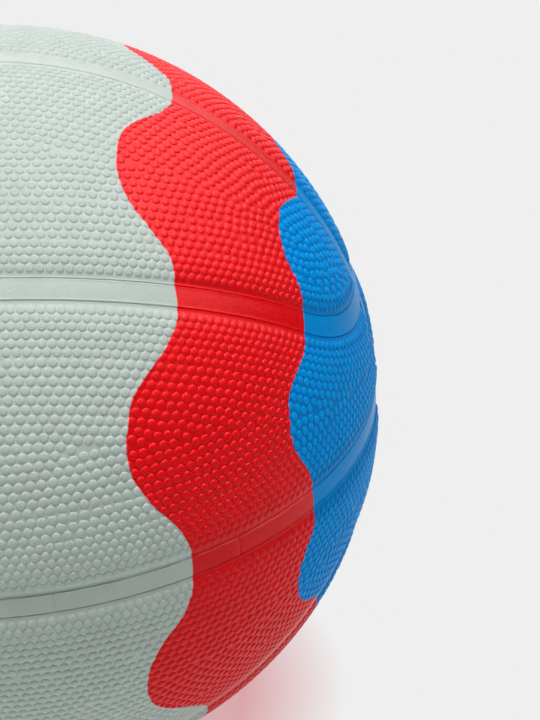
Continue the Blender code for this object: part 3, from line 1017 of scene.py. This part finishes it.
# %% Wound nylon
NYLON_CREAM = "#CFC8B4"
NYLON_PAINTED_SHADE = "#8F866E"
# the real thread is about 0.25 mm wide, too fine to show, so it is drawn coarser
THREAD_WIDTH = 0.0008
# a wave texture of scale 1 has bands about this far apart
WAVE_BAND = 0.314
THREAD_TURNS = ((0.0, 0.0, 0.0), (0.9, 0.4, 0.2), (0.3, 1.1, 0.7))


def wound_nylon():
    """Cream nylon thread in crossing layers, with painted shade between and the glint of drawn fibre."""
    material, tree, place = new_material("wound_nylon_thread")
    thread = 0.0
    for turn in THREAD_TURNS:
        lay = add(tree, "Mapping", {"Vector": place, "Rotation": turn})[0]
        bands = {"Vector": lay, "Scale": WAVE_BAND / THREAD_WIDTH, "Distortion": 0.6}
        layer = add(tree, "TexWave", bands)["Fac"]
        thread = add(tree, "Math", {0: thread, 1: layer}, operation="MAXIMUM")[0]
    # painted shade: the thread turns darker where it dips below the others
    cream_and_painted_shade = {0: thread, 6: linear(NYLON_PAINTED_SHADE), 7: linear(NYLON_CREAM)}
    tint = add(tree, "Mix", cream_and_painted_shade, data_type="RGBA")[2]
    relief = add(tree, "Bump", {"Distance": THREAD_WIDTH / 3, "Height": thread})[0]
    shader = add(tree, "BsdfPrincipled", {
        "Base Color": tint, "Roughness": 0.45, "Normal": relief, "IOR": 1.53,
    })
    add(tree, "OutputMaterial", {"Surface": shader[0]})
    return material


inner_finishes["winding_layer"] = wound_nylon()
for node, finish in inner_finishes.items():
    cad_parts[node].data.materials.clear()
    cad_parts[node].data.materials.append(finish)
print("inner layers:", {node: finish.name for node, finish in inner_finishes.items()})

# %% [markdown]
# ## The floor
#
# The ball lies on a sweep of white paper. A modelled sweep would curve up behind it. Here a flat disc is
# enough, so wide that its edge is never seen, at the height where the lowest pebbles touch it.

# %% Floor
FLOOR_RADIUS = 12.0
FLOOR_SIDES = 96

lowest = min(point[2] for panel in panels for point in panel.bound_box)
turns = [k * 2 * math.pi / FLOOR_SIDES for k in range(FLOOR_SIDES)]
rim = [(FLOOR_RADIUS * math.cos(turn), FLOOR_RADIUS * math.sin(turn), lowest) for turn in turns]
floor_mesh = bpy.data.meshes.new("floor")
floor_mesh.from_pydata(rim, [], [list(range(FLOOR_SIDES))])
floor = new_object("floor", floor_mesh)
print("floor at", round(lowest * 1000, 2), "mm")

# %% [markdown]
# ## The paper
#
# Paper is matt, and gives the ball a good part of its light from below. The eye sees it as one even pale
# grey, which an emission gives for the rays that are looked along. Close to the ball the even light gives
# way to the real paper with the ball's shadow, most of all where the two touch. Near the ball's red side
# the even grey is painted pink, a painted reflection of the ball's red light. Half a metre to the right, a
# gloss sees the paper painted dark, a painted reflection of the dark studio, which keeps the blue deep.

# %% Paper
PALE_GREY = "#EFEFEF"
PAPER_GREY = "#E2E7E5"
PAINTED_PINK_BOUNCE = "#DEAAAE"
STUDIO_DARK = "#1A1A1A"
SHADE_NEAR, SHADE_FAR = 0.07, 0.105
SHADE_SHARE = 0.08
CONTACT_NEAR, CONTACT_FAR = 0.01, 0.072
CONTACT_SHARE = 0.75
DARK_GLOSS_FROM, DARK_GLOSS_TO = 0.42, 0.52


def looked_along(tree):
    """One for rays that show the background, straight or through glass, and one for those in a gloss."""
    path = add(tree, "LightPath", {})
    inputs = {0: path["Is Camera Ray"], 1: path["Is Transmission Ray"]}
    return add(tree, "Math", inputs, operation="MAXIMUM")[0], path["Is Glossy Ray"]


# rolled smooth but uncoated, so the paper has no gloss of its own and only takes the shadow
paper, tree, place = new_material("matt_paper_sweep")
flat = add(tree, "VectorMath", {0: place, 1: (1, 1, 0)}, operation="MULTIPLY")[0]
reach = add(tree, "VectorMath", {0: flat}, operation="LENGTH")["Value"]
near = add(tree, "MapRange", {0: reach, 1: SHADE_NEAR, 2: SHADE_FAR, 3: 1.0, 4: 0.0})[0]
# painted reflection: the even grey turns pink near the ball's red side, for the red light it throws on the
# paper
right = add(tree, "SeparateXYZ", {0: place})["X"]
red_side = add(tree, "MapRange", {0: right, 1: 0.0, 2: SHADE_NEAR})[0]
painted_bounce_share = add(tree, "Math", {0: near, 1: red_side}, operation="MULTIPLY")[0]
tint = add(tree, "Mix", {0: painted_bounce_share, 6: linear(PALE_GREY), 7: linear(PAINTED_PINK_BOUNCE)}, data_type="RGBA")[2]
even = add(tree, "Emission", {"Color": tint, "Strength": 1.0})[0]
matt = add(tree, "BsdfPrincipled", {
    "Base Color": linear(PAPER_GREY), "Roughness": 0.9, "Specular IOR Level": 0.0,
})[0]
glow = add(tree, "Math", {0: near, 1: -SHADE_SHARE, 2: 1.0}, operation="MULTIPLY_ADD")[0]
touching = {0: reach, 1: CONTACT_NEAR, 2: CONTACT_FAR, 3: CONTACT_SHARE, 4: 0.0}
contact = add(tree, "MapRange", touching, interpolation_type="SMOOTHSTEP")[0]
glow = add(tree, "Math", {0: glow, 1: contact}, operation="SUBTRACT")[0]
straight, in_gloss = looked_along(tree)
seen = add(tree, "Math", {0: straight, 1: in_gloss}, operation="MAXIMUM")[0]
glow = add(tree, "Math", {0: glow, 1: seen}, operation="MULTIPLY")[0]
sheet = add(tree, "MixShader", {0: glow, 1: matt, 2: even})[0]
# painted reflection: past this edge only a gloss sees the paper as dark, for a dark studio; other rays see
# paper
dark_in_gloss = add(tree, "MapRange", {0: right, 1: DARK_GLOSS_FROM, 2: DARK_GLOSS_TO})[0]
dark_in_gloss = add(tree, "Math", {0: dark_in_gloss, 1: in_gloss}, operation="MULTIPLY")[0]
unlit = add(tree, "Emission", {"Color": linear(STUDIO_DARK), "Strength": 1.0})[0]
whole = add(tree, "MixShader", {0: dark_in_gloss, 1: sheet, 2: unlit})[0]
add(tree, "OutputMaterial", {"Surface": whole})
floor_mesh.materials.append(paper)
print("paper:", len(tree.nodes), "nodes")

# %% [markdown]
# ## The studio
#
# The room round the ball is nearly dark, which leaves the pebbles their dark undersides. The camera sees a
# pale grey backdrop in every direction. In a gloss the backdrop shows too, behind the ball. Above it, and
# only in a gloss, shines a wide bright diffuser that gives the ball no light: a painted reflection, which
# brings the pale sheen on the upper pebbles. Walls could be modelled, but the direction of a ray is enough
# to tell what it meets.

# %% World
SKY_SHARE = 0.05
BACKDROP_FROM, BACKDROP_TO = 0.6, 0.9
GLOSS_DIFFUSER_FROM, GLOSS_DIFFUSER_TO = 0.15, 0.8
GLOSS_DIFFUSER_STRENGTH = 8.0

world = bpy.data.worlds.new("pale_studio")
bpy.context.scene.world = world
world.use_nodes = True
tree = world.node_tree
tree.nodes.clear()
straight, in_gloss = looked_along(tree)
way = add(tree, "TexCoord", {})["Generated"]
ways = add(tree, "SeparateXYZ", {0: way})
behind = add(tree, "MapRange", {0: ways["Y"], 1: BACKDROP_FROM, 2: BACKDROP_TO})[0]
# painted reflection: only a gloss sees this bright diffuser overhead; it gives no other light
above = add(tree, "MapRange", {0: ways["Z"], 1: GLOSS_DIFFUSER_FROM, 2: GLOSS_DIFFUSER_TO, 4: GLOSS_DIFFUSER_STRENGTH})[0]
mirrored = add(tree, "Math", {0: behind, 1: above}, operation="MAXIMUM")[0]
strength = add(tree, "Mix", {0: in_gloss, 2: SKY_SHARE, 3: mirrored})[0]
room = add(tree, "Background", {"Color": (1, 1, 1, 1), "Strength": strength})[0]
wall = add(tree, "Background", {"Color": linear(PALE_GREY), "Strength": 1.0})[0]
both = add(tree, "MixShader", {0: straight, 1: room, 2: wall})[0]
add(tree, "OutputWorld", {"Surface": both})
bpy.context.scene.view_settings.view_transform = "Standard"
print("world:", len(tree.nodes), "nodes")

# %% [markdown]
# ## The lamps
#
# Two soft lamps hang over the ball, the stronger one to its left and the other to its right. That is why
# the pebbles have bright tops. Area lamps would need a place and a size, so suns with a wide angle stand
# for them, and their light is as strong everywhere.

# %% Lamps
KEY_LAMP = {"share": 0.63, "elevation": 76, "turn": 205, "spread": 16}
FILL_LAMP = {"share": 0.29, "elevation": 58, "turn": 12, "spread": 20}


def hang_lamp(name, share, elevation, turn, spread):
    """A soft lamp far off, by its share of the light on the floor, and its angles in degrees."""
    rise, round_turn = math.radians(elevation), math.radians(turn)
    lamp = new_object(name, bpy.data.lights.new(name, "SUN"))
    lamp.data.energy = share * math.pi / math.sin(rise)
    lamp.data.angle = math.radians(spread)
    level = math.cos(rise)
    towards = Vector((level * math.cos(round_turn), level * math.sin(round_turn), math.sin(rise)))
    lamp.rotation_euler = towards.to_track_quat("Z", "Y").to_euler()
    return lamp


key_lamp = hang_lamp("key_lamp", **KEY_LAMP)
fill_lamp = hang_lamp("fill_lamp", **FILL_LAMP)
print("lamps:", round(key_lamp.data.energy, 2), "and", round(fill_lamp.data.energy, 2))
